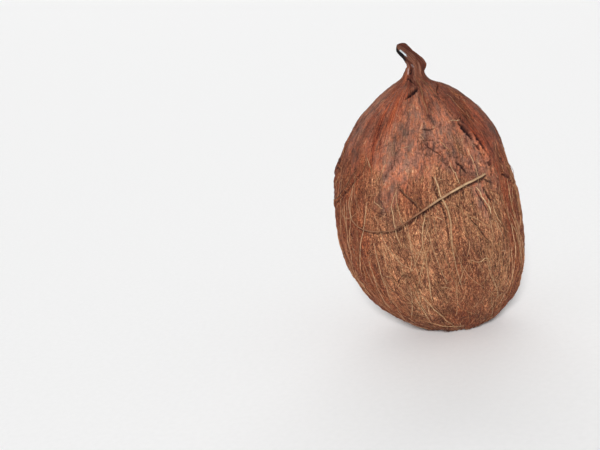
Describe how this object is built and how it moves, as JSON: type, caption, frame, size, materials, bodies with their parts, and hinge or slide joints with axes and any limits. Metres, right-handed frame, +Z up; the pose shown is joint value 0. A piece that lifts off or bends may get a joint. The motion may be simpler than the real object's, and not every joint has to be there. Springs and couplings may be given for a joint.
{
  "type": "coconut",
  "caption": "Whole ripe brown coconut with its outer husk removed: a fibre-covered ovoid with a hooked tuft of husk at the stem end, standing on a small flat spot.",
  "frame": {"origin": "on the surface that the coconut stands on, under the middle of its box", "axes": "+Z up from the blossom end to the tuft at the stem end; -Y is the front; the tuft hooks towards -X and the blossom end bulges towards +X"},
  "size_m": [0.1122, 0.1086, 0.1788],
  "materials": {
    "coir_husk": "dry matted coir: red-brown husk fibre with paler tan strands, dull, with no shine but on the worn tip of the tuft"
  },
  "bodies": {
    "root": {"coconut": "coir_husk"}
  },
  "joints": []
}
